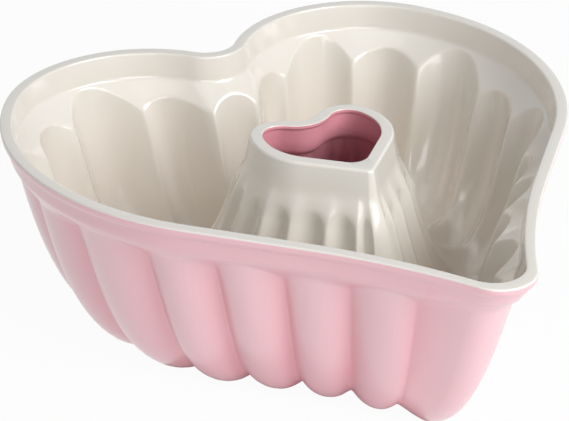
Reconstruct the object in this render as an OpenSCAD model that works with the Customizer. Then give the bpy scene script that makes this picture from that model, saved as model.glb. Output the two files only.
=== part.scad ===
// Heart shaped fluted tube pan, cast in one piece, in millimetres.
// The pan stands on Z = 0 and opens upward. The tip of the heart points along -Y and its notch along +Y.
// Its wall is one closed skin: a cavity side and an underside, joined at the rim and at the tube's hole.
// Each side is a stack of rings. A ring's place is given by how far in from the rim's edge it runs,
// or how far out from the tube's edge, and by its depth below the rim.

/* [Pan] */
// Width of the heart across its two lobes, at the rim
pan_w = 260; // [235:1:285]
// Height from the table to the top of the rim
pan_h = 94; // [84:1:106]
// Width of the rim's flat top
rim_w = 5.5; // [4.5:0.1:6.5]
// Thickness of the cast wall
wall = 4; // [3:0.1:5]

/* [Rim] */
// Height of the rounded lip under the rim's flat top
lip_h = 5.4; // [4.6:0.1:6.4]
// Depth of the plain band inside the rim
band_in = 12.5; // [11:0.1:12.8]
// Depth of the plain band outside the rim
band_out = 15; // [13.5:0.1:16]
// How far the band outside lies in from the rim's edge
band_step = 2.9; // [2:0.1:3.6]

/* [Flutes] */
// Depth below the rim at which the tall scoops start inside
scoop_top = 13; // [12.9:0.1:14.5]
// How much lower the short scoops between them start
short_drop = 6.2; // [4.5:0.1:7]
// How far the grooves are sunk between the lobes, around the side
flute_sink = 5.5; // [4:0.1:7]
// How deep the grooves are between the lobes under the pan
foot_groove = 5.5; // [4:0.1:6.5]
// How far the ridges rise above the scoops on the floor of the cavity
floor_ridge = 6.7; // [5:0.1:8]
// How much further the wall is set in at the tip, as a share of its inset elsewhere
tip_inset = 0.72; // [0.5:0.02:0.9]

/* [Tube] */
// Width of the tube's heart shaped top
tube_w = 64; // [56:1:72]
// Width of the flat ring around the hole
ring_w = 5.5; // [4.5:0.1:6.5]
// Depth of the plain collar around the top of the tube
collar_h = 12.6; // [11.4:0.1:13.6]
// Spread of the tube's ridges at the shoulder under the collar
shoulder = 7.4; // [6.8:0.1:8]
// Distance from the rim's notch to the tube's notch
tube_gap = 83.7; // [78:0.1:90]

/* [Hidden] */
flutes = 22;
// Steps around each flute, around the wide scoop at the tip, and down each curve of the wall
steps = 8;
tip_steps = 12;
side_steps = 5;
tube_steps = 4;
lobes = flutes / 2;
// The rim's outline from notch to tip, as arcs of a radius and a turn. Left turns are positive.
rim_arcs = [
    [0.053 * pan_w, 49],
    [0.244 * pan_w, -102.8],
    [0.408 * pan_w, -38.4],
    [0.482 * pan_w, -41.5],
];
rim_flank = [1.221 * pan_w, 13.6];
rim_tip = 0.0615 * pan_w;
// The tube's outline, drawn the same way, and the hole's, which keeps a rounder tip
tube_arcs = [
    [0.177 * tube_w, 42],
    [0.219 * tube_w, -110],
    [0.469 * tube_w, -68],
];
tube_tip = 0.04 * tube_w;
hole_tip = 0.133 * tube_w;
// The rim's rings run square to its edge as far as this, and then straight toward the tube
square_in = 8;
square_tip = 0.05 * pan_w;
// Where each groove crosses the rim, as a share of the way from notch to tip
groove_at = [0.0205, 0.1085, 0.219, 0.313, 0.42, 0.507, 0.607, 0.688, 0.769, 0.84, 0.911];
// The same for the middle of the half of the tip's scoop
tip_at = 0.962;
// Where each ridge ends at the tube's edge, as a share of the way from its notch to its tip
ridge_at = [0.06, 0.185, 0.24, 0.3, 0.385, 0.471, 0.588, 0.7, 0.838, 0.946, 0.99];
// How far up each scoop reaches, from notch to tip: 1 is a tall scoop and 0 a short one
reach = [0.3, 0, 1, 0.15, 1, 0, 1, 0, 1, 0, 1, 0.8];
// The lowest ring of the channel: distance in from the rim and share of the channel's width
low_in = 21;
low_share = 0.3;
// How far the plain bands lean away from upright
band_lean = 1.5;
collar_lean = 2.5;
// The lip, the band and the hole each have a small rounded edge: its height, and how far it goes in
lip_edge = 2;
lip_edge_in = 0.4;
band_edge = 3.5;
band_edge_in = 2.2;
hole_edge = 1.6;
// Inside, the tall and short scoops and the ridges start this far in behind the wall's thickness
tall_in = 4;
short_in = 10.8;
ridge_in = 15.5;
// The ridges start this far below the tall scoops
ridge_drop = 10;
// Outside, the tall and short lobes and the grooves start this far in, and this far below the band
tall_lobe = [5.9, 0.9];
short_lobe = [7.6, 4.2];
groove_past = 0.9;
groove_in = tall_lobe[0] + flute_sink + groove_past;
groove_drop = 7.6;
// Handles that bend the side's curves: distance in from the rim's edge, and share of the pan's height
tall_bend = [9, 0.3];
short_bend = [10.5, 0.32];
groove_bend = [20, 0.49];
ridge_bend = [24.5, 0.49];
// The same at the foot of the side, where the height is the floor's own
lobe_foot = 19;
groove_foot = 25;
ridge_foot = 28;
// The same for the tube's curves: distance out from its edge and height above the table
tube_scoop_bend = [17, 28];
tube_ridge_bend = [20, 26];
// And where the tube meets the floor: share of the channel's width, and distance beyond it
tube_foot_share = 0.5;
scoop_mid = 19;
ridge_mid = 15;
lobe_mid = 21;
groove_mid = 18;
// The tube's scoops end in an arch and its ridges in the shoulder: depths below the collar
scoop_arch = 7.6;
ridge_arch = 9.7;
shoulder_drop = 14.6;
// How far the scoops lie behind the shoulder at their arch, and the same where the tube's curves start
arch_back = 1.8;
scoop_back = 1.6;
ridge_out = 2.2;
// The wall behind the shoulder starts this deep below the collar, and its grooves are this much shallower
neck_drop = 8.4;
under_fill = 0.6;
// Inside the hole the collar's wall opens out this far, and ends this far below the collar's foot
hole_flare = 2.3;
flare_drop = 1.4;
// The tip's further inset starts at this depth below the rim, and is whole after this much more
fade_from = 6;
fade_over = 5;
// The smaller this power is, the further down the inset is kept
tip_keep = 0.6;
// The larger this power is, the flatter is the middle of the tip's scoop
tip_flat = 1.5;
// How round a ridge is, as a share of half a flute, and how deep the arc of a scoop is
round_band = 0.1;
round_groove = 0.07;
round_ridge = 0.16;
round_tube = 0.3;
arc_depth = 0.75;
// The rim and the tube's ring are cast this much too high and the lobes this much too low, and cut flat
proud = 0.5;
foot_flat = 0.3;

// Outlines
function is_straight(arc) = arc[1] == 0;
function run(arc) = is_straight(arc) ? arc[0] : arc[0] * abs(arc[1]) * PI / 180;
function inset(arc, d) = [arc[0] + sign(arc[1]) * d, arc[1]];
function go(p, arc, f) =
    is_straight(arc)
    ? [p[0] + arc[0] * f * cos(p[2]), p[1] + arc[0] * f * sin(p[2]), p[2]]
    : let (s = sign(arc[1]) * arc[0], a = p[2] + arc[1] * f)
      [p[0] + s * (sin(a) - sin(p[2])), p[1] - s * (cos(a) - cos(p[2])), a];
function stops(arcs, p = [0, 0, 0]) =
    [for (i = 0, q = p; i <= len(arcs); q = i < len(arcs) ? go(q, arcs[i], 1) : q, i = i + 1) q];
function total(v, n) = n <= 0 ? 0 : v[n - 1] + total(v, n - 1);
function turn_of(arcs) = total([for (a = arcs) a[1]], len(arcs));
function end_x(arcs) = stops(arcs)[len(arcs)][0];
// The straight side is as long as it takes for the outline to end on the middle line
function heart(lobe, flank, tip_r) =
    let (
        tip = [tip_r, -180 - turn_of(lobe) - turn_of(flank)],
        side = -end_x(concat(lobe, flank, [tip])) / cos(turn_of(lobe))
    )
    concat(lobe, [[side, 0]], flank, [tip]);
// A place on an outline is the number of its arc and the share of that arc
function place(arcs, s, i = 0) =
    i == len(arcs) - 1 || s <= run(arcs[i])
    ? [i, s / run(arcs[i])]
    : place(arcs, s - run(arcs[i]), i + 1);
function length_of(arcs) = total([for (a = arcs) run(a)], len(arcs));
function point(arcs, ends, at, y) =
    let (p = go(ends[at[0]], arcs[at[0]], at[1]))
    [p[0], p[1] + y];

rim = heart(rim_arcs, [rim_flank], rim_tip);
inner = heart([for (a = rim_arcs) inset(a, square_in)], [inset(rim_flank, square_in)], square_tip);
tube = heart(tube_arcs, [], tube_tip);
hole = heart([for (a = tube_arcs) inset(a, ring_w)], [], hole_tip);
rim_ends = stops(rim);
inner_ends = stops(inner);
tube_ends = stops(tube);
hole_ends = stops(hole);
// The outline starts at the notch, and is moved so that the pan is centred on its own middle
lobe_y = rim_ends[1][1] + rim_arcs[1][0] * (1 - cos(rim_arcs[0][1]));
tip_y = rim_ends[len(rim)][1];
notch_y = -(lobe_y + tip_y) / 2;

// Rails: the four outlines at each step from notch to tip, with smaller steps in the wide scoop at the tip
last = lobes - 0.5;
across = concat([for (j = [0:last * steps]) j / steps], [for (j = [1:tip_steps / 2]) last + j / tip_steps]);
half = len(across) - 1;
groove_knots = [for (i = [0:lobes - 1]) [i + 0.5, groove_at[i]]];
knots = concat([[0, 0]], groove_knots, [[(last + lobes) / 2, tip_at], [lobes, 1]]);
rim_at = [for (q = across) place(rim, lookup(q, knots) * length_of(rim))];
ridge_knots = [for (i = [0:lobes - 1]) [i + 0.5, ridge_at[i]]];
tube_knots = concat([[0, 0]], ridge_knots, [[lobes, 1]]);
tube_at = [for (q = across) place(tube, lookup(q, tube_knots) * length_of(tube))];
hole_at = [for (q = across) place(hole, lookup(q, tube_knots) * length_of(hole))];
rail_rim = [for (at = rim_at) point(rim, rim_ends, at, notch_y)];
rail_inner = [for (at = rim_at) point(inner, inner_ends, at, notch_y - square_in)];
rail_tube = [for (at = tube_at) point(tube, tube_ends, at, notch_y - tube_gap)];
rail_hole = [for (at = hole_at) point(hole, hole_ends, at, notch_y - tube_gap - ring_w)];
gap = [for (j = [0:half]) norm(rail_tube[j] - rail_inner[j])];
function plan(j, d) =
    d < square_in ? rail_rim[j] + (rail_inner[j] - rail_rim[j]) * d / square_in
    : d < square_in + gap[j] ? rail_inner[j] + (rail_tube[j] - rail_inner[j]) * (d - square_in) / gap[j]
    : rail_tube[j] + (rail_hole[j] - rail_tube[j]) * (d - square_in - gap[j]) / ring_w;

// Flutes: 0 in the middle of a scoop and 1 on a ridge, along an arc with a rounded ridge
function soft(a, e) = sqrt(a * a + e * e) - e;
function flute(t, e) =
    let (x = arc_depth * (1 - soft(1 - abs(t), e) / soft(1, e)))
    (1 - sqrt(1 - x * x)) / (1 - sqrt(1 - arc_depth * arc_depth));

// A ring is [inset, share of the channel's width, height, roundness]: for tall and short scoops and for ridges
function from_rim(d, depth, e = round_band) = [d, 0, pan_h - depth, e];
function from_tube(d, depth, e = round_tube) = [square_in - d, 1, pan_h - depth, e];
function lowest(z, e) = [low_in, low_share, z, e];
function middle(d, z, e) = [d, tube_foot_share, z, e];
// A curve has a start, two handles that bend it and an end, and its start isn't among its rings
function between(a, b, t) = a + (b - a) * t;
function bend(a, b, c, t) = between(between(a, b, t), between(b, c, t), t);
function curve_at(c, t) = between(bend(c[0], c[1], c[2], t), bend(c[1], c[2], c[3], t), t);
function curve(c, n) = [for (i = [1:n]) curve_at(c, i / n)];
function three(a, b, c) = [for (i = [0:len(a) - 1]) [a[i], b[i], c[i]]];
function alike(a) = three(a, a, a);

// Side of the cavity, from the band down to the floor
function cavity_side(start, bend, foot, floor_z) =
    let (
        e = round_ridge,
        top = from_rim(start[0], start[1], e),
        handle = from_rim(bend[0] + wall, bend[1] * pan_h, e),
        low_handle = from_rim(foot + wall, pan_h - floor_z, e)
    )
    concat([top], curve([top, handle, low_handle, lowest(floor_z, e)], side_steps));
tall_start = [tall_in + wall, scoop_top];
short_start = [short_in + wall, scoop_top + short_drop];
ridge_start = [ridge_in + wall, scoop_top + ridge_drop];
ridge_z = wall + floor_ridge;
side_rings = three(
    cavity_side(tall_start, tall_bend, lobe_foot, wall),
    cavity_side(short_start, short_bend, lobe_foot, wall),
    cavity_side(ridge_start, ridge_bend, ridge_foot, ridge_z));

// Side of the tube in the cavity, from the floor up to the shoulder
function cavity_tube(foot, bend, spread, floor_z) =
    let (
        e = round_ridge,
        handle = from_tube(bend[0], pan_h - bend[1]),
        top = from_tube(spread, collar_h + shoulder_drop)
    )
    curve([lowest(floor_z, e), middle(foot, floor_z, e), handle, top], tube_steps);
tube_scoop = concat(
    cavity_tube(scoop_mid, tube_scoop_bend, shoulder - scoop_back, wall),
    [from_tube(shoulder - arch_back, collar_h + scoop_arch)]);
tube_ridge = concat(
    cavity_tube(ridge_mid, tube_ridge_bend, shoulder + ridge_out, ridge_z),
    [from_tube(shoulder, collar_h + ridge_arch)]);

cavity = concat(
    alike([from_rim(0, -proud), from_rim(rim_w, -proud), from_rim(rim_w + band_lean, band_in)]),
    side_rings,
    three(tube_scoop, tube_scoop, tube_ridge),
    alike([from_tube(collar_lean, collar_h), from_tube(0, -proud), from_tube(-ring_w, -proud)]));

// Underside of the tube, from its neck down to the table, a wall's thickness behind the cavity
function under_tube(neck, spread, foot, bend, floor_z) =
    let (
        e = round_groove,
        top = from_tube(neck - wall, collar_h + neck_drop),
        start = from_tube(spread - wall, collar_h + shoulder_drop + wall / 2),
        handle = from_tube(bend[0] - wall, pan_h - bend[1] + wall / 2)
    )
    concat([top], curve([start, handle, middle(foot, floor_z, e), lowest(floor_z, e)], tube_steps));
tube_lobe = under_tube(shoulder - arch_back, shoulder - scoop_back, lobe_mid, tube_scoop_bend, -foot_flat);
tube_groove = under_tube(
    shoulder - under_fill, shoulder + ridge_out - under_fill, groove_mid, tube_ridge_bend, foot_groove);

// Underside of the side, from the table up to the band
function under_side(start, bend, foot, floor_z) =
    let (
        e = round_groove,
        handle = from_rim(bend[0], bend[1] * pan_h, e),
        top = from_rim(start[0], start[1], e)
    )
    curve([lowest(floor_z, e), from_rim(foot, pan_h - floor_z, e), handle, top], side_steps);
function below_band(start) = [start[0], band_out + start[1]];
side_under = three(
    under_side(below_band(tall_lobe), tall_bend, lobe_foot, -foot_flat),
    under_side(below_band(short_lobe), short_bend, lobe_foot, -foot_flat),
    under_side(below_band([groove_in, groove_drop]), groove_bend, groove_foot, foot_groove));

underside = concat(
    alike([from_tube(-ring_w, hole_edge), from_tube(hole_flare - ring_w, collar_h + flare_drop)]),
    three(tube_lobe, tube_lobe, tube_groove),
    side_under,
    alike([
        from_rim(band_step + band_edge_in, band_out),
        from_rim(band_step, band_out - band_edge),
        from_rim(band_step - lip_edge_in, lip_h),
        from_rim(0, lip_h - lip_edge),
    ]));
rings = concat(cavity, underside);

// At the tip the two flanks close on each other, so the wall there is set further in
function fade(z) = max(0, min(1, (pan_h - z - fade_from) / fade_over));
function tip_share(knot) = tip_inset * fade(knot[2]) * max(0, 1 - knot[1] / low_share) ^ tip_keep;
function at_tip(knot, q) = q > last ? knot[0] * (1 + tip_share(knot)) : knot[0];
function turn_at(q) = q > last ? abs((q - round(q)) * 2) ^ tip_flat : (q - round(q)) * 2;
// On the tube, the flute at the tip is filled up to its ridges
function filled(f, q, share) = q > last ? f + (1 - f) * max(0, (share - low_share) / (1 - low_share)) : f;
function ring_point(ring, j) =
    let (
        q = across[j],
        scoop = between(ring[1], ring[0], reach[round(q)]),
        ridge = ring[2],
        f = filled(flute(turn_at(q), ridge[3]), q, ridge[1]),
        d_scoop = at_tip(scoop, q) + scoop[1] * gap[j],
        d_ridge = ridge[0] + ridge[1] * gap[j],
        p = plan(j, d_scoop + (d_ridge - d_scoop) * f)
    )
    [p[0], p[1], scoop[2] + (ridge[2] - scoop[2]) * f];
function whole(side) = concat(side, [for (j = [half - 1:-1:1]) [-side[j][0], side[j][1], side[j][2]]]);

module pan() {
    round_count = 2 * half;
    count = len(rings);
    points = [for (ring = rings) each whole([for (j = [0:half]) ring_point(ring, j)])];
    function corner(i, j) = (i % count) * round_count + j % round_count;
    faces = [
        for (i = [0:count - 1], j = [0:round_count - 1], upper = [0, 1])
            upper == 0
            ? [corner(i, j), corner(i, j + 1), corner(i + 1, j)]
            : [corner(i + 1, j), corner(i, j + 1), corner(i + 1, j + 1)]
    ];
    color("pink") intersection() {
        polyhedron(points = points, faces = faces, convexity = 12);
        translate([-pan_w, -pan_w, 0]) cube([2 * pan_w, 2 * pan_w, pan_h]);
    }
}

pan();
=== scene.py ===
"""A heart shaped fluted tube pan: one casting, satin pink outside and glossy cream inside."""

import math

import bpy
import numpy as np
from bpy.props import FloatProperty, FloatVectorProperty, IntProperty, PointerProperty
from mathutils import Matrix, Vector


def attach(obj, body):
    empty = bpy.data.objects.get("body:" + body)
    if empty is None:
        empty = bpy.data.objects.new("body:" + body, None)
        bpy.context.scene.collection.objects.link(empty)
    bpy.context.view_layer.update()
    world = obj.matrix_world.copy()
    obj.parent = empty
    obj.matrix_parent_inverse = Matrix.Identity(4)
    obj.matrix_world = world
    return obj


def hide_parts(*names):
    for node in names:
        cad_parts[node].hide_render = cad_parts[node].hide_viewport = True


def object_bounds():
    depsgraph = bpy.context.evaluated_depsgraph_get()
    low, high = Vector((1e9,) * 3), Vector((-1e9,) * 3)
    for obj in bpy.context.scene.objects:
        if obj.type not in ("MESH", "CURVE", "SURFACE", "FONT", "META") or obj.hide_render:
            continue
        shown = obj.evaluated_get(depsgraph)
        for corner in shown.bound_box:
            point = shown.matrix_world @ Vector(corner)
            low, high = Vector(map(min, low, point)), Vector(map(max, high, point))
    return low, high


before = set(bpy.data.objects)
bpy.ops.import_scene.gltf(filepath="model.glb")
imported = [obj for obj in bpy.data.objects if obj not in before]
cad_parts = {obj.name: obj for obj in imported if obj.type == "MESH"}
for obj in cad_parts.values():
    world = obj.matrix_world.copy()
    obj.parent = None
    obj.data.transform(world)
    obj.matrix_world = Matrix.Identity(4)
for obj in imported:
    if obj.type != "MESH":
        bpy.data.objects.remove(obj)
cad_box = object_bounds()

bl_info = {
    "name": "Heart fluted tube pan",
    "version": (1, 0, 0),
    "blender": (4, 5, 0),
    "location": "3D View > Sidebar > Tube pan",
    "description": "Models a cast heart shaped fluted tube pan, its two coats and a plain studio",
    "category": "Object",
}

MM = 0.001
CAD_LOW, CAD_HIGH = cad_box
CAD_WIDTH = CAD_HIGH.x - CAD_LOW.x
CAD_HEIGHT = CAD_HIGH.z - CAD_LOW.z


def length(name, default, description):
    """A length that the sidebar shows, in metres, given here in millimetres."""
    return FloatProperty(
        name=name,
        default=default * MM,
        min=0.0,
        unit="LENGTH",
        precision=4,
        description=description,
    )


def share(name, default, description):
    """A plain number from 0 to 1."""
    return FloatProperty(name=name, default=default, min=0.0, max=1.0, description=description)


def power(name, default, description):
    """A lamp's strength in watts."""
    return FloatProperty(name=name, default=default, min=0.0, unit="POWER", description=description)


def paint(name, default, description):
    """A colour that the sidebar shows, as linear red, green and blue."""
    return FloatVectorProperty(
        name=name,
        default=default,
        size=3,
        min=0.0,
        max=1.0,
        subtype="COLOR",
        description=description,
    )


class PanSizes(bpy.types.PropertyGroup):
    """Sizes of the casting."""

    width: length("Width", CAD_WIDTH / MM, "Width of the heart across its two lobes, at the rim")
    height: length("Height", CAD_HEIGHT / MM, "Height from the table to the top of the rim")
    rim_width: length("Rim width", 5.5, "Width of the rim's flat top")
    lip_height: length("Lip height", 5.4, "Height of the rounded lip under the rim's flat top")
    band_inside: length("Band inside", 12.5, "Depth of the plain band inside the rim")
    band_outside: length("Band outside", 15.0, "Depth of the plain band outside the rim")
    wall: length("Wall", 4.0, "Thickness of the cast wall")
    tube_width: length("Tube width", 64.0, "Width of the tube's heart shaped top")
    ring_width: length("Ring width", 5.5, "Width of the flat ring around the hole")
    collar: length("Collar", 12.6, "Depth of the plain collar around the top of the tube")
    tube_gap: length("Tube gap", 83.7, "Distance from the rim's notch to the tube's notch")
    flute_steps: IntProperty(
        name="Flute steps", default=22, min=4, max=60, description="Steps across one flute"
    )


class PanCoats(bpy.types.PropertyGroup):
    """Colours and gloss of the two coats."""

    cream: paint("Cream", (0.785, 0.755, 0.698), "Coat inside the pan and on its rim")
    # Painted shade: the cream turns darker and warmer toward this low in the cavity, and a little in its
    # scoops.
    shaded_cream: paint("Deep cream", (0.785, 0.702, 0.614), "The same coat where it lies thick, low down")
    cream_rough: share("Cream roughness", 0.24, "Roughness of the coat inside")
    cream_gloss: share("Cream gloss", 1.0, "Weight of the clear gloss on the coat inside")
    pink: paint("Pink", (0.845, 0.515, 0.562), "Coat outside the pan and in the tube's hole")
    # Painted shade: the pink turns toward this in and around the tube's hole, between the lobes and a little
    # low down; the lobes' crests keep the lighter pink as a painted highlight.
    shaded_pink: paint("Deep pink", (0.79, 0.34, 0.4), "The same coat where it lies thick, in the hole")
    pink_rough: share("Pink roughness", 0.4, "Roughness of the coat outside")
    pink_gloss: share("Pink gloss", 1.0, "Weight of the clear gloss on the coat outside")


class StudioLight(bpy.types.PropertyGroup):
    """Strength of the studio's lamps and of its white surroundings."""

    key: power("Key", 17.0, "Soft box at the right")
    low: power("Low", 6.0, "Soft box low at the camera")
    high: power("High", 1.7, "Soft box high at the left")
    sky: FloatProperty(
        name="Surroundings", default=0.22, min=0.0, description="White light from all around"
    )


# Outlines: arcs from notch to tip as (radius, turn), the radius as a share of the width and the turn in
# degrees, to the left where it is positive. The straight side lies between the lobe's arcs and the flank's,
# and the tip's radius closes the outline.
RIM_ARCS = ((0.053, 49.0), (0.244, -102.8), (0.408, -38.4), (0.482, -41.5))
RIM_FLANK = ((1.221, 13.6),)
RIM_TIP = 0.0615
INNER_TIP = 0.05
TUBE_ARCS = ((0.177, 42.0), (0.219, -110.0), (0.469, -68.0))
TUBE_TIP = 0.04
HOLE_TIP = 0.133


class Outline:
    """One half of a heart, from its notch at the top of the middle line to its tip."""

    def __init__(self, scale, lobe, flank, tip, inset=0.0):
        lobe = [self.arc(scale, a, inset) for a in lobe]
        flank = [self.arc(scale, a, inset) for a in flank]
        turned = sum(turn for _, turn in lobe)
        rest = -math.pi - turned - sum(turn for _, turn in flank)
        flank.append((tip * scale, rest))
        # The straight side is as long as it takes for the outline to end on the middle line
        self.arcs = lobe + flank
        self.starts = self.chain()
        side = -self.starts[-1][0] / math.cos(turned)
        self.arcs = lobe + [(side, 0.0)] + flank
        self.starts = self.chain()
        self.runs = np.array([radius * abs(turn) if turn else radius for radius, turn in self.arcs])
        self.ends = np.concatenate([[0.0], np.cumsum(self.runs)])

    @staticmethod
    def arc(scale, arc, inset):
        radius, turn = arc
        return radius * scale + math.copysign(inset, turn), math.radians(turn)

    def chain(self):
        """The place and heading at which each arc starts, and where the last one ends."""
        places = [(0.0, 0.0, 0.0)]
        for index in range(len(self.arcs)):
            places.append(self.follow(index, 1.0, places[-1]))
        return places

    def follow(self, index, part, start):
        x, y, heading = start
        radius, turn = self.arcs[index]
        if not turn:
            return x + radius * part * np.cos(heading), y + radius * part * np.sin(heading), heading
        signed = math.copysign(radius, turn)
        ahead = heading + turn * part
        return (
            x + signed * (np.sin(ahead) - np.sin(heading)),
            y - signed * (np.cos(ahead) - np.cos(heading)),
            ahead,
        )

    def locate(self, shares):
        """The arc's number and the part of it, for shares of the outline's length."""
        along = np.asarray(shares) * self.ends[-1]
        index = np.clip(np.searchsorted(self.ends, along, side="right") - 1, 0, len(self.arcs) - 1)
        return index, (along - self.ends[index]) / self.runs[index]

    def points(self, index, part, top):
        """Points at those places, with the notch at height top on the middle line."""
        found = [self.follow(i, p, self.starts[i])[:2] for i, p in zip(index, part)]
        return np.array(found) + (0.0, top)

    def lobe_top(self):
        """How far the top of the lobe stands above the notch."""
        return self.starts[1][1] + self.arcs[1][0] * (1 - math.cos(self.starts[1][2]))


# Flutes: their number, and where each groove crosses the rim as a share of the way from notch to tip
FLUTES = 22
GROOVES = (0.0205, 0.1085, 0.219, 0.313, 0.42, 0.507, 0.607, 0.688, 0.769, 0.84, 0.911)
TIP_MIDDLE = 0.962
# The same for the grooves' ends at the top of the tube
TUBE_GROOVES = (0.06, 0.185, 0.24, 0.3, 0.385, 0.471, 0.588, 0.7, 0.838, 0.946, 0.99)
# How far up each scoop reaches, from notch to tip: every other one ends right under the band
REACH = (0.3, 0.0, 1.0, 0.15, 1.0, 0.0, 1.0, 0.0, 1.0, 0.0, 1.0, 0.8)
# The rim's rows run square to its edge as far as this, and then straight toward the tube
SQUARE_IN = 8.0
# How deep the arc of a scoop is, as a share of its radius
ARC_DEPTH = 0.75
# At the tip the wall is set in further by this share, from this depth on and whole after this much more
TIP_INSET = 0.72
FADE_FROM = 6.0
FADE_OVER = 5.0
# The tip's wide scoop is this much flatter in its middle, and the inset is kept this far toward its foot
TIP_FLAT = 1.5
TIP_KEEP = 0.6
# A hollow between two crests this far proud of it, in millimetres, counts as a whole one
WHOLE_HOLLOW = 6.0
# How much of the step from crest to hollow lies on the crest's side of a plain wall
CREST_SHARE = 0.4
# The lowest row: distance in from the rim and share of the channel's width
LOW_IN = 21.0
LOW_SHARE = 0.3
# Where mid channel is, as such a share
MID_SHARE = 0.5


class Rails:
    """The four outlines that the rows run between, at each step around the pan."""

    def __init__(self, sizes, around):
        width, tube = sizes.width / MM, sizes.tube_width / MM
        ring = sizes.ring_width / MM
        rim = Outline(width, RIM_ARCS, RIM_FLANK, RIM_TIP)
        inner = Outline(width, RIM_ARCS, RIM_FLANK, INNER_TIP, SQUARE_IN)
        tube_top = Outline(tube, TUBE_ARCS, (), TUBE_TIP)
        hole = Outline(tube, TUBE_ARCS, (), HOLE_TIP, ring)
        lobes = FLUTES / 2
        self.last = lobes - 0.5
        self.side = np.sign(around)
        self.around = np.abs(around)
        knots = [0.0, *(k + 0.5 for k in range(FLUTES // 2)), (self.last + lobes) / 2, lobes]
        crossed = np.interp(self.around, knots, [0.0, *GROOVES, TIP_MIDDLE, 1.0])
        at_rim = rim.locate(crossed)
        notch = -(rim.lobe_top() + rim.starts[-1][1]) / 2
        tube_notch = notch - sizes.tube_gap / MM
        ended = np.interp(self.around, knots, [0.0, *TUBE_GROOVES, (1 + TUBE_GROOVES[-1]) / 2, 1.0])
        self.rim = self.mirrored(rim.points(*at_rim, notch))
        self.inner = self.mirrored(inner.points(*at_rim, notch - SQUARE_IN))
        self.tube = self.mirrored(tube_top.points(*tube_top.locate(ended), tube_notch))
        self.hole = self.mirrored(hole.points(*hole.locate(ended), tube_notch - ring))
        self.gap = np.linalg.norm(self.tube - self.inner, axis=1)
        self.ring = ring

    def mirrored(self, points):
        return points * np.stack([self.side, np.ones_like(self.side)], axis=1)

    def plan(self, inward):
        """Points this far in from the rim's edge, along the rails."""
        square = np.clip(inward / SQUARE_IN, None, 1.0)[:, None]
        across = np.clip((inward - SQUARE_IN) / self.gap, 0.0, 1.0)[:, None]
        past = np.clip((inward - SQUARE_IN - self.gap) / self.ring, 0.0, None)[:, None]
        return (
            self.rim
            + (self.inner - self.rim) * square
            + (self.tube - self.inner) * across
            + (self.hole - self.tube) * past
        )


def soft_edge(value, softness):
    return np.sqrt(value * value + softness * softness) - softness


def flute_rise(turn, softness):
    """0 in the middle of a scoop and 1 on its ridge, along an arc with a rounded ridge."""
    x = ARC_DEPTH * (1 - soft_edge(1 - np.abs(turn), softness) / soft_edge(1.0, softness))
    return (1 - np.sqrt(1 - x * x)) / (1 - math.sqrt(1 - ARC_DEPTH**2))


# Softness of the crests between the flutes: on the side wall, low in the channel and on the tube
SIDE_SOFT = 0.12
LOW_SOFT = 0.22
TUBE_SOFT = 0.3
# The same on the outside. The tube keeps its own.
OUTER_SIDE_SOFT = 0.06
OUTER_LOW_SOFT = 0.12

# Points of the profiles are (across, down, rounding) in millimetres. On the side wall across runs in from
# the rim's outer edge, and on the tube it runs out from the edge of the tube's top. Down runs from the rim's
# top.
RIM_CORNER = ((0.0, 0.7, 0.0), (0.35, 0.0, 0.5))
RIM_INNER_CORNER = (0.0, 0.0, 1.0)
BAND_END = (1.5, 0.0, 1.6)
TALL_TOP = (8.0, 13.0, 2.0)
SHORT_TOP = (14.8, 19.2, 2.5)
RIDGE_TOP = (19.5, 23.0, 2.5)
# The curves from those tops down to the floor: the handle under the top
TALL_HANDLE = (12.8, 30.0)
SHORT_HANDLE = (15.0, 32.0)
RIDGE_HANDLE = (28.5, 46.0)
# How far in they come down to the lowest height, how far in of mid channel they leave it, and how far a ridge
# stands above a scoop there
SCOOP_LANDS_IN = 24.0
RIDGE_LANDS_IN = 32.0
SCOOP_LEAVES_IN = 19.0
RIDGE_LEAVES_IN = 15.0
RIDGE_STANDS = 6.7
# The curves' handles at the tube's foot, as (out, above the table), and the points where they end on the tube
SCOOP_TUBE_FOOT = (17.0, 28.0)
RIDGE_TUBE_FOOT = (20.0, 26.0)
SCOOP_ON_TUBE = ((5.8, 27.0, 2.0), (5.6, 20.1, 1.6))
RIDGE_ON_TUBE = ((9.6, 27.5, 2.0), (7.4, 22.3, 3.0))
COLLAR_END = (2.5, 0.0, 3.0)
RING_CORNER = ((0.3, 0.8, 0.6), (-0.5, 0.0, 0.5))
HOLE_CORNER = (0.3, 0.0, 0.3)

# The underside. The hole's points run from the hole's edge, and then from the end of the collar down.
HOLE_MOUTH = ((0.0, 0.3, 0.0), (0.0, 1.6, 0.4), (0.9, 2.6, 0.5))
HOLE_STEP = ((-3.8, -2.0, 2.0), (-2.7, 2.2, 1.5), (-0.4, 4.6, 0.8))
LOBE_UNDER_TUBE = (1.4, 22.5, 2.5)
GROOVE_UNDER_TUBE = (2.4, 22.5, 2.5)
LOBE_TUBE_HANDLE = (2.1, 29.0)
GROOVE_TUBE_HANDLE = (5.0, 30.0)
LOBE_TUBE_FOOT = (13.2, 26.0)
GROOVE_TUBE_FOOT = (16.2, 24.0)
LOBE_LANDS_IN = 21.0
GROOVE_LANDS_IN = 18.0
LOBE_LEAVES_IN = 19.0
GROOVE_LEAVES_IN = 25.0
GROOVE_STANDS = 5.5
TALL_LOBE_HANDLE = (9.0, 28.0)
SHORT_LOBE_HANDLE = (9.6, 30.0)
GROOVE_HANDLE = (20.0, 46.0)
# Measured down from the end of the plain band outside
TALL_LOBE_TOP = (5.9, 0.9, 2.0)
SHORT_LOBE_TOP = (7.6, 4.2, 2.0)
GROOVE_TOP = (12.0, 6.5, 2.0)
OUTER_BAND = ((5.2, 0.0, 1.5), (3.2, -3.5, 1.2))
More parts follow.
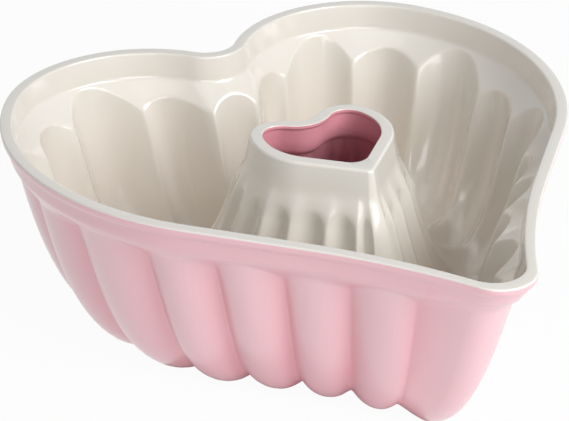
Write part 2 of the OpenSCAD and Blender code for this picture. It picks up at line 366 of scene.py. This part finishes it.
# Measured down from the lip's lower edge
LIP = ((2.6, 0.0, 0.8), (0.2, -2.0, 1.6))
OUTER_EDGE = (0.0, 0.9)


# A knot of a profile: [millimetres in, share of the channel's width, millimetres down, softness, rounding]
def from_rim(across, down, rounding=0.0, soft=SIDE_SOFT):
    return np.array([across, 0.0, down, soft, rounding])


def from_tube(across, down, rounding=0.0, soft=TUBE_SOFT):
    return np.array([SQUARE_IN - across, 1.0, down, soft, rounding])


def at_floor(down, soft=LOW_SOFT):
    return np.array([LOW_IN, LOW_SHARE, down, soft, 0.0])


def mid_floor(across, down, soft=LOW_SOFT):
    return np.array([across, MID_SHARE, down, soft, 0.0])


def moved(points, across=0.0, down=0.0):
    """The same points of a profile, so much further across and down."""
    return [(at + across, depth + down, rounding) for at, depth, rounding in points]


def curve(start, first, second, end, steps):
    """Rows along a curve with two handles, without its start. Only its end keeps a rounding."""
    t = np.linspace(0.0, 1.0, steps + 1)[1:, None]
    s = 1 - t
    rows = s**3 * start + 3 * s * s * t * first + 3 * s * t * t * second + t**3 * end
    rows[:-1, 4] = 0.0
    return list(rows)


def rounded(knots, steps):
    """The knots with a small curve of so many steps at each corner that has a rounding."""
    rows = [knots[0]]
    for before, here, after in zip(knots, knots[1:], knots[2:]):
        rounding = here[4]
        if not rounding:
            rows.append(here)
            continue
        back, ahead = before - here, after - here
        start = here + back * min(rounding / np.hypot(back[0], back[2]), 0.5)
        end = here + ahead * min(rounding / np.hypot(ahead[0], ahead[2]), 0.5)
        rows.append(start)
        rows.extend(curve(start, (start + 2 * here) / 3, (end + 2 * here) / 3, end, steps))
    return np.array([*rows, knots[-1]])


SIDE_ROWS = 24
TUBE_ROWS = 18
CORNER_ROWS = 4


def cavity_rows(sizes):
    """Rows of the cavity's tall scoops, short scoops and ridges, from the rim's edge to the hole's edge."""
    height, wall = sizes.height / MM, sizes.wall / MM
    rim, band = sizes.rim_width / MM, sizes.band_inside / MM
    collar, ring = sizes.collar / MM, sizes.ring_width / MM
    scoop_floor = height - wall
    ridge_floor = scoop_floor - RIDGE_STANDS
    head = [*RIM_CORNER, *moved([RIM_INNER_CORNER], rim), *moved([BAND_END], rim, band)]
    head = [from_rim(*point) for point in head]
    tail = [*moved([COLLAR_END], 0.0, collar), *RING_CORNER, *moved([HOLE_CORNER], -ring)]
    tail = [from_tube(*point) for point in tail]

    def profile(top, handle, lands_in, floor, leaves_in, tube_foot, on_tube):
        low_on_tube, high_on_tube = (from_tube(*point) for point in on_tube)
        foot_out, foot_up = tube_foot
        start, lowest = from_rim(*top), at_floor(floor)
        landing = from_rim(lands_in, floor, soft=LOW_SOFT)
        down = curve(start, from_rim(*handle), landing, lowest, SIDE_ROWS)
        foot = from_tube(foot_out, height - foot_up)
        up = curve(lowest, mid_floor(leaves_in, floor), foot, low_on_tube, TUBE_ROWS)
        return rounded([*head, start, *down, *up, high_on_tube, *tail], CORNER_ROWS)

    scoop_end = (SCOOP_LANDS_IN, scoop_floor, SCOOP_LEAVES_IN, SCOOP_TUBE_FOOT, SCOOP_ON_TUBE)
    ridge_end = (RIDGE_LANDS_IN, ridge_floor, RIDGE_LEAVES_IN, RIDGE_TUBE_FOOT, RIDGE_ON_TUBE)
    return [
        profile(TALL_TOP, TALL_HANDLE, *scoop_end),
        profile(SHORT_TOP, SHORT_HANDLE, *scoop_end),
        profile(RIDGE_TOP, RIDGE_HANDLE, *ridge_end),
    ]


def underside_rows(sizes):
    """Rows of the underside's tall lobes, short lobes and grooves, from the hole's edge to the rim's edge."""
    height = sizes.height / MM
    lip, band = sizes.lip_height / MM, sizes.band_outside / MM
    collar, ring = sizes.collar / MM, sizes.ring_width / MM
    head = [from_tube(*point) for point in (*moved(HOLE_MOUTH, -ring), *moved(HOLE_STEP, 0.0, collar))]
    tail = [*moved(OUTER_BAND, 0.0, band), *moved(LIP, 0.0, lip), (*OUTER_EDGE, 0.0)]
    tail = [from_rim(*point, OUTER_SIDE_SOFT) for point in tail]

    def profile(under_tube, tube_handle, tube_foot, lands_in, floor, leaves_in, handle, top):
        foot_out, foot_up = tube_foot
        foot = from_tube(foot_out, height - foot_up)
        lowest = at_floor(floor, OUTER_LOW_SOFT)
        landing = mid_floor(lands_in, floor, OUTER_LOW_SOFT)
        leaving = from_rim(leaves_in, floor, soft=OUTER_LOW_SOFT)
        (high,) = moved([top], 0.0, band)
        end = from_rim(*high, OUTER_SIDE_SOFT)
        down = curve(from_tube(*tube_handle), foot, landing, lowest, TUBE_ROWS)
        up = curve(lowest, leaving, from_rim(*handle, soft=OUTER_SIDE_SOFT), end, SIDE_ROWS)
        return rounded([*head, from_tube(*under_tube), *down, *up, *tail], CORNER_ROWS)

    groove_floor = height - GROOVE_STANDS
    lobe_start = (LOBE_UNDER_TUBE, LOBE_TUBE_HANDLE, LOBE_TUBE_FOOT)
    lobe = (*lobe_start, LOBE_LANDS_IN, height, LOBE_LEAVES_IN)
    groove_start = (GROOVE_UNDER_TUBE, GROOVE_TUBE_HANDLE, GROOVE_TUBE_FOOT)
    groove = (*groove_start, GROOVE_LANDS_IN, groove_floor, GROOVE_LEAVES_IN)
    return [
        profile(*lobe, TALL_LOBE_HANDLE, TALL_LOBE_TOP),
        profile(*lobe, SHORT_LOBE_HANDLE, SHORT_LOBE_TOP),
        profile(*groove, GROOVE_HANDLE, GROOVE_TOP),
    ]


def steps_around(sizes):
    """Places around the pan in flutes from the notch, round by the left lobe, closer together at ridges."""
    half = sizes.flute_steps // 2
    lobes = FLUTES // 2
    toward_ridge = np.sin(np.linspace(0.0, math.pi / 2, half + 1)) * 0.5
    places = []
    for lobe in range(lobes):
        if lobe:
            places.extend(lobe - toward_ridge[:0:-1])
        places.extend(lobe + toward_ridge[:-1])
    last = lobes - 0.5
    wide = 0.5 * (1 - np.cos(np.linspace(0.0, math.pi / 2, 2 * half + 1)))
    places.extend(last + wide)
    one_side = np.array(places)
    return np.concatenate([-one_side, one_side[-2:0:-1]])


def pan_points(sizes):
    """The whole skin as [row, step around, (x, y, z, hollow)] in metres, and how many rows the cavity has.
    Hollow goes from low on a crest, through 0 where there are no flutes, to high between two crests."""
    around = steps_around(sizes)
    rails = Rails(sizes, around)
    turn = (rails.around - np.floor(rails.around + 0.5)) * 2
    turn = np.where(rails.around > rails.last, np.abs(turn) ** TIP_FLAT, turn)
    at_tip = np.where(rails.around > rails.last, TIP_INSET, 0.0)
    reach = np.array(REACH)[np.floor(rails.around + 0.5).astype(int)]
    inside, outside = cavity_rows(sizes), underside_rows(sizes)
    height = sizes.height / MM
    skin = []
    for number, (tall, short, ridge) in enumerate(zip(*(np.vstack(rows) for rows in zip(inside, outside)))):
        rise = flute_rise(turn, ridge[3])
        # On the tube the flute at the tip is filled
        on_tube = np.clip((ridge[1] - LOW_SHARE) / (1 - LOW_SHARE), 0.0, 1.0)
        rise = np.where(rails.around > rails.last, rise + (1 - rise) * on_tube, rise)
        scoop = short[:, None] + (tall - short)[:, None] * reach
        fade = np.clip((scoop[2] - FADE_FROM) / FADE_OVER, 0.0, 1.0)
        tip = 1 + at_tip * fade * np.clip(1 - scoop[1] / LOW_SHARE, 0.0, 1.0) ** TIP_KEEP
        scoop_in = scoop[0] * tip + scoop[1] * rails.gap
        ridge_in = ridge[0] + ridge[1] * rails.gap
        flat = rails.plan(scoop_in + (ridge_in - scoop_in) * rise)
        up = height - (scoop[2] + (ridge[2] - scoop[2]) * rise)
        proud = np.clip(np.hypot(ridge_in - scoop_in, ridge[2] - scoop[2]) / WHOLE_HOLLOW, 0.0, 1.0)
        # The coats show painted shade where hollow is high and a painted highlight where it is low.
        hollow = proud * ((1 - rise if number < len(inside[0]) else rise) - CREST_SHARE)
        skin.append(np.column_stack([flat * MM, up * MM, hollow]))
    return np.array(skin), len(inside[0])


def select_none():
    if bpy.context.object and bpy.context.object.mode != "OBJECT":
        bpy.ops.object.mode_set(mode="OBJECT")
    bpy.ops.object.select_all(action="DESELECT")


# Points nearer than this, in metres, are one, and faces that meet at less than this angle shade as one
SAME_POINT = 1e-6
SMOOTH_ANGLE = 40.0


class BAKEWARE_OT_cast_pan(bpy.types.Operator):
    """Model the cast pan: a flat grid rolled up both ways onto the pan's skin, and merged where it closes"""

    bl_idname = "bakeware.cast_pan"
    bl_label = "Cast pan"

    def execute(self, context):
        sizes = context.scene.pan_sizes
        skin, cavity_count = pan_points(sizes)
        rows, steps, _ = skin.shape
        select_none()
        bpy.ops.mesh.primitive_grid_add(x_subdivisions=steps, y_subdivisions=rows, size=sizes.width)
        pan = context.object
        closed = np.pad(skin, ((0, 1), (0, 1), (0, 0)), mode="wrap").astype(np.float32)
        pan.name = "cast_pan"
        pan.data.name = "cast_pan"
        pan.data.vertices.foreach_set("co", closed[..., :3].ravel())
        hollow = pan.data.attributes.new("hollow", "FLOAT", "POINT")
        hollow.data.foreach_set("value", closed[..., 3].ravel())
        pan.data.materials.append(cream_coat(context.scene.pan_coats))
        pan.data.materials.append(pink_coat(context.scene.pan_coats))
        row = np.repeat(np.arange(rows), steps)
        pan.data.polygons.foreach_set("material_index", (row >= cavity_count).astype(np.int32))
        bpy.ops.object.mode_set(mode="EDIT")
        bpy.ops.mesh.select_all(action="SELECT")
        bpy.ops.mesh.remove_doubles(threshold=SAME_POINT)
        bpy.ops.mesh.normals_make_consistent(inside=False)
        bpy.ops.object.mode_set(mode="OBJECT")
        bpy.ops.object.shade_smooth_by_angle(angle=math.radians(SMOOTH_ANGLE))
        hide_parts("pan")
        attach(pan, "root")
        return {"FINISHED"}


# A noise texture's average
NOISE_MIDDLE = 0.5


class Wire:
    """A socket of a node, on which arithmetic adds Math nodes."""

    def __init__(self, coat, socket):
        self.coat = coat
        self.socket = socket

    def math(self, operation, *others):
        sockets = dict(enumerate((self, *others)))
        return self.coat.node("ShaderNodeMath", {"operation": operation}, sockets)

    def __add__(self, other):
        return self.math("ADD", other)

    def __sub__(self, other):
        return self.math("SUBTRACT", other)

    def __mul__(self, other):
        return self.math("MULTIPLY", other)

    def __rsub__(self, other):
        return self.coat.node("ShaderNodeMath", {"operation": "SUBTRACT"}, {0: other, 1: self})

    __radd__ = __add__
    __rmul__ = __mul__


class Coat:
    """The nodes of a material or of the world."""

    def __init__(self, owner):
        owner.use_nodes = True
        self.owner = owner
        self.nodes = owner.node_tree.nodes
        self.links = owner.node_tree.links
        self.nodes.clear()

    def node(self, kind, settings=None, sockets=None, output=0):
        """Adds a node: its settings, then the values or links of its sockets. Gives one of its outputs."""
        made = self.nodes.new(kind)
        for name, value in (settings or {}).items():
            setattr(made, name, value)
        for name, value in (sockets or {}).items():
            if isinstance(value, Wire):
                self.links.new(value.socket, made.inputs[name])
            else:
                made.inputs[name].default_value = value
        return Wire(self, made.outputs[output]) if made.outputs else made

    def place(self):
        """Where a point of the surface lies in the object."""
        return self.node("ShaderNodeTexCoord", output="Object")

    def noise(self, scale, detail=2.0, roughness=0.5):
        """Noise in patches of 1 / scale metres, 0 on average."""
        sockets = {"Vector": self.place(), "Scale": scale, "Detail": detail, "Roughness": roughness}
        return self.node("ShaderNodeTexNoise", {"noise_dimensions": "3D"}, sockets) - NOISE_MIDDLE

    def mix(self, factor, first, second):
        """A colour between two others."""
        sockets = {0: factor, 6: (*first, 1.0), 7: (*second, 1.0)}
        return self.node("ShaderNodeMix", {"data_type": "RGBA"}, sockets, 2)

    def beyond(self, reach):
        """1 further than this from the upright line through the object's middle, and 0 nearer."""
        level = {0: self.place(), 1: (1.0, 1.0, 0.0)}
        flat = self.node("ShaderNodeVectorMath", {"operation": "MULTIPLY"}, level)
        far = self.node("ShaderNodeVectorMath", {"operation": "LENGTH"}, {0: flat}, "Value")
        return far.math("GREATER_THAN", reach)

    def depth(self, reach):
        """0 at the rim's height, and 1 this far below it."""
        height = self.node("ShaderNodeSeparateXYZ", None, {0: self.place()}, "Z")
        return (CAD_HIGH.z - height) * (1.0 / reach)

    def rays(self):
        """Whether a ray comes from the camera, from a reflection, or through glass."""
        outputs = self.node("ShaderNodeLightPath").socket.node.outputs
        names = ("Is Camera Ray", "Is Glossy Ray", "Is Transmission Ray")
        return [Wire(self, outputs[name]) for name in names]

    def finish(self, surface, kind="ShaderNodeOutputMaterial"):
        self.node(kind, None, {"Surface": surface})
        return self.owner


# How the coats' colour and roughness drift: patches in a metre, and how much of a change they bring
DRIFT_SCALE, DRIFT_DETAIL, DRIFT = 14.0, 3.0, 0.3
CLOUD_SCALE, CLOUD_ROUGH = 60.0, 0.08
GRAIN_SCALE, GRAIN_DETAIL, GRAIN_SHARP, GRAIN_ROUGH = 900.0, 2.0, 0.6, 0.05
# The orange peel: its patches in a metre, its depth in metres, and the grain's share in it
PEEL_SCALE, PEEL_DETAIL, PEEL_DEPTH, PEEL_GRAIN = 350.0, 1.0, 0.0001, 0.3
# The share of the gloss that is missing in a coat's core
CORE_DULL = 0.8
# How each coat is shaded. Its shade colour shows by the share plain on a plain wall; as painted shade it
# shows a whole share more this far down (sink, in metres), and a share more in a hollow between flutes
# (hollow_shade) and less on a crest, where the lighter coat is a painted highlight. Nearer to the middle than
# core, in metres, the whole shade colour shows as painted shade. Gloss_rough and density are its gloss's, and
# peel its orange peel's.
CREAM_COAT = {
    "plain": 0.0,
    "sink": 0.11,
    "hollow_shade": 0.15,
    "core": 0.0,
    "gloss_rough": 0.08,
    "density": 1.5,
    "peel": 0.15,
}
PINK_COAT = {
    "plain": 0.35,
    "sink": 0.5,
    "hollow_shade": 0.85,
    "core": 0.06,
    "gloss_rough": 0.3,
    "density": 2.1,
    "peel": 0.25,
}


def sprayed_coat(name, unshaded, shaded, roughness, gloss, plain, sink, hollow_shade, core, gloss_rough, density, peel):
    """A sprayed and baked coat with a fine orange peel. Its colour drifts a little, and turns toward the
    shade colour as painted shade low down, in the hollows between the flutes and nearer to the middle than
    core, where its gloss is also dulled. On the flutes' crests it turns lighter, as a painted highlight."""
    coat = Coat(bpy.data.materials.new(name))
    hollow = coat.node("ShaderNodeAttribute", {"attribute_name": "hollow"}, output="Fac")
    # Painted shade: the share of the shade colour grows low down and in the hollows between flutes, and falls
    # on the crests as a painted highlight.
    depth = coat.noise(DRIFT_SCALE, DRIFT_DETAIL) * DRIFT + coat.depth(sink) + hollow * hollow_shade + plain
    # Painted shade in and around the tube's hole: the whole shade colour, with the gloss dulled.
    if core:
        in_core = 1.0 - coat.beyond(core)
        depth = depth + in_core
        gloss = gloss - in_core * (CORE_DULL * gloss)
    grain = coat.noise(GRAIN_SCALE, GRAIN_DETAIL, GRAIN_SHARP)
    peel_height = coat.noise(PEEL_SCALE, PEEL_DETAIL) + grain * PEEL_GRAIN
    peel_sockets = {"Strength": peel, "Distance": PEEL_DEPTH, "Height": peel_height}
    sockets = {
        "Base Color": coat.mix(depth, unshaded, shaded),
        "Roughness": roughness + coat.noise(CLOUD_SCALE) * CLOUD_ROUGH + grain * GRAIN_ROUGH,
        "Coat Weight": gloss,
        "Coat Roughness": gloss_rough,
        "Coat IOR": density,
        "Normal": coat.node("ShaderNodeBump", None, peel_sockets),
    }
    return coat.finish(coat.node("ShaderNodeBsdfPrincipled", None, sockets))


def cream_coat(coats):
    uses = (coats.cream, coats.shaded_cream, coats.cream_rough, coats.cream_gloss)
    return sprayed_coat("cream_coat", *uses, **CREAM_COAT)


def pink_coat(coats):
    uses = (coats.pink, coats.shaded_pink, coats.pink_rough, coats.pink_gloss)
    return sprayed_coat("pink_coat", *uses, **PINK_COAT)


# Camera: it looks at a point on the rim's plane from this far, turned and raised by these angles
LOOK_AT = (-0.0502, -0.0398, 0.094)
CAMERA_DISTANCE = 0.99717
CAMERA_TURN = -29.11
CAMERA_RISE = 28.54
LENS = 151.85
SENSOR = 36.0
CLIP_END = 100.0
FLOOR_SIZE = 30.0
FLOOR_PAINT = (0.8, 0.8, 0.8, 1.0)
# How much of the floor is shown white, past its own shade
FLOOR_WHITE = 0.95
# Reflections see the white floor only this far out and further: under the pan it lies in the dark
PAN_REACH = 0.085
WHITE = (1.0, 1.0, 1.0, 1.0)
# The soft boxes: where each stands, their width, and what they face
SOFT_BOXES = {"key": (0.47, -1.05, 0.85), "low": (-0.58, -1.24, 0.34), "high": (-0.51, -0.3, 1.32)}
BOX_WIDTH = 0.9
BOXES_FACE = (0.0, 0.0, 0.05)


def floor_paint():
    """Shows the floor nearly white to the camera and in reflections, with its shadows left in it."""
    coat = Coat(bpy.data.materials.new("studio_floor"))
    lit = coat.node("ShaderNodeBsdfDiffuse", None, {"Color": FLOOR_PAINT})
    white = coat.node("ShaderNodeEmission", None, {"Color": WHITE, "Strength": 1.0})
    camera, glossy, glass = coat.rays()
    shown = (camera + (glossy + glass) * coat.beyond(PAN_REACH)) * FLOOR_WHITE
    return coat.finish(coat.node("ShaderNodeMixShader", None, {0: shown, 1: lit, 2: white}))


def white_world(strength):
    """Surroundings that light the pan at this strength, and show white to the camera and in reflections."""
    world = Coat(bpy.data.worlds.new("studio"))
    around = world.node("ShaderNodeBackground", None, {"Color": WHITE, "Strength": strength})
    white = world.node("ShaderNodeBackground", None, {"Color": WHITE, "Strength": 1.0})
    camera, glossy, glass = world.rays()
    shown = camera.math("MAXIMUM", glossy.math("MAXIMUM", glass))
    either = world.node("ShaderNodeMixShader", None, {0: shown, 1: around, 2: white})
    return world.finish(either, "ShaderNodeOutputWorld")


def soft_box(name, place, energy):
    """A square lamp that faces the pan."""
    bpy.ops.object.light_add(type="AREA", location=place)
    lamp = bpy.context.object
    lamp.name = name
    lamp.data.size = BOX_WIDTH
    lamp.data.energy = energy
    lamp.rotation_euler = (Vector(BOXES_FACE) - Vector(place)).to_track_quat("-Z", "Y").to_euler()


class BAKEWARE_OT_studio(bpy.types.Operator):
    """Set up the floor, the lamps and the camera"""

    bl_idname = "bakeware.studio"
    bl_label = "Studio"

    def execute(self, context):
        light = context.scene.studio_light
        select_none()
        bpy.ops.mesh.primitive_plane_add(size=FLOOR_SIZE, location=(0.0, 0.0, 0.0))
        floor = context.object
        floor.name = "studio_floor"
        floor.data.materials.append(floor_paint())
        for name, place in SOFT_BOXES.items():
            soft_box(name, place, getattr(light, name))
        context.scene.world = white_world(light.sky)
        turn, rise = math.radians(CAMERA_TURN), math.radians(CAMERA_RISE)
        back = Vector((math.sin(turn) * math.cos(rise), -math.cos(turn) * math.cos(rise), math.sin(rise)))
        bpy.ops.object.camera_add(location=Vector(LOOK_AT) + back * CAMERA_DISTANCE)
        camera = context.object
        camera.name = "studio_camera"
        camera.rotation_euler = (-back).to_track_quat("-Z", "Y").to_euler()
        camera.data.lens = LENS
        camera.data.sensor_width = SENSOR
        camera.data.clip_end = CLIP_END
        context.scene.camera = camera
        context.scene.view_settings.view_transform = "Standard"
        return {"FINISHED"}


class BAKEWARE_PT_tube_pan(bpy.types.Panel):
    """Lists the pan's sizes, coats and studio"""

    bl_label = "Heart tube pan"
    bl_space_type = "VIEW_3D"
    bl_region_type = "UI"
    bl_category = "Tube pan"

    def draw(self, context):
        scene = context.scene
        for settings, operator in (
            ((scene.pan_sizes, scene.pan_coats), BAKEWARE_OT_cast_pan),
            ((scene.studio_light,), BAKEWARE_OT_studio),
        ):
            box = self.layout.box()
            for group in settings:
                for name in group.__annotations__:
                    box.prop(group, name)
            box.operator(operator.bl_idname)


CLASSES = (
    PanSizes,
    PanCoats,
    StudioLight,
    BAKEWARE_OT_cast_pan,
    BAKEWARE_OT_studio,
    BAKEWARE_PT_tube_pan,
)


def register():
    for made in CLASSES:
        bpy.utils.register_class(made)
    bpy.types.Scene.pan_sizes = PointerProperty(type=PanSizes)
    bpy.types.Scene.pan_coats = PointerProperty(type=PanCoats)
    bpy.types.Scene.studio_light = PointerProperty(type=StudioLight)


def unregister():
    del bpy.types.Scene.studio_light
    del bpy.types.Scene.pan_coats
    del bpy.types.Scene.pan_sizes
    for made in reversed(CLASSES):
        bpy.utils.unregister_class(made)


def main():
    register()
    bpy.ops.bakeware.cast_pan()
    bpy.ops.bakeware.studio()


if __name__ == "__main__":
    main()
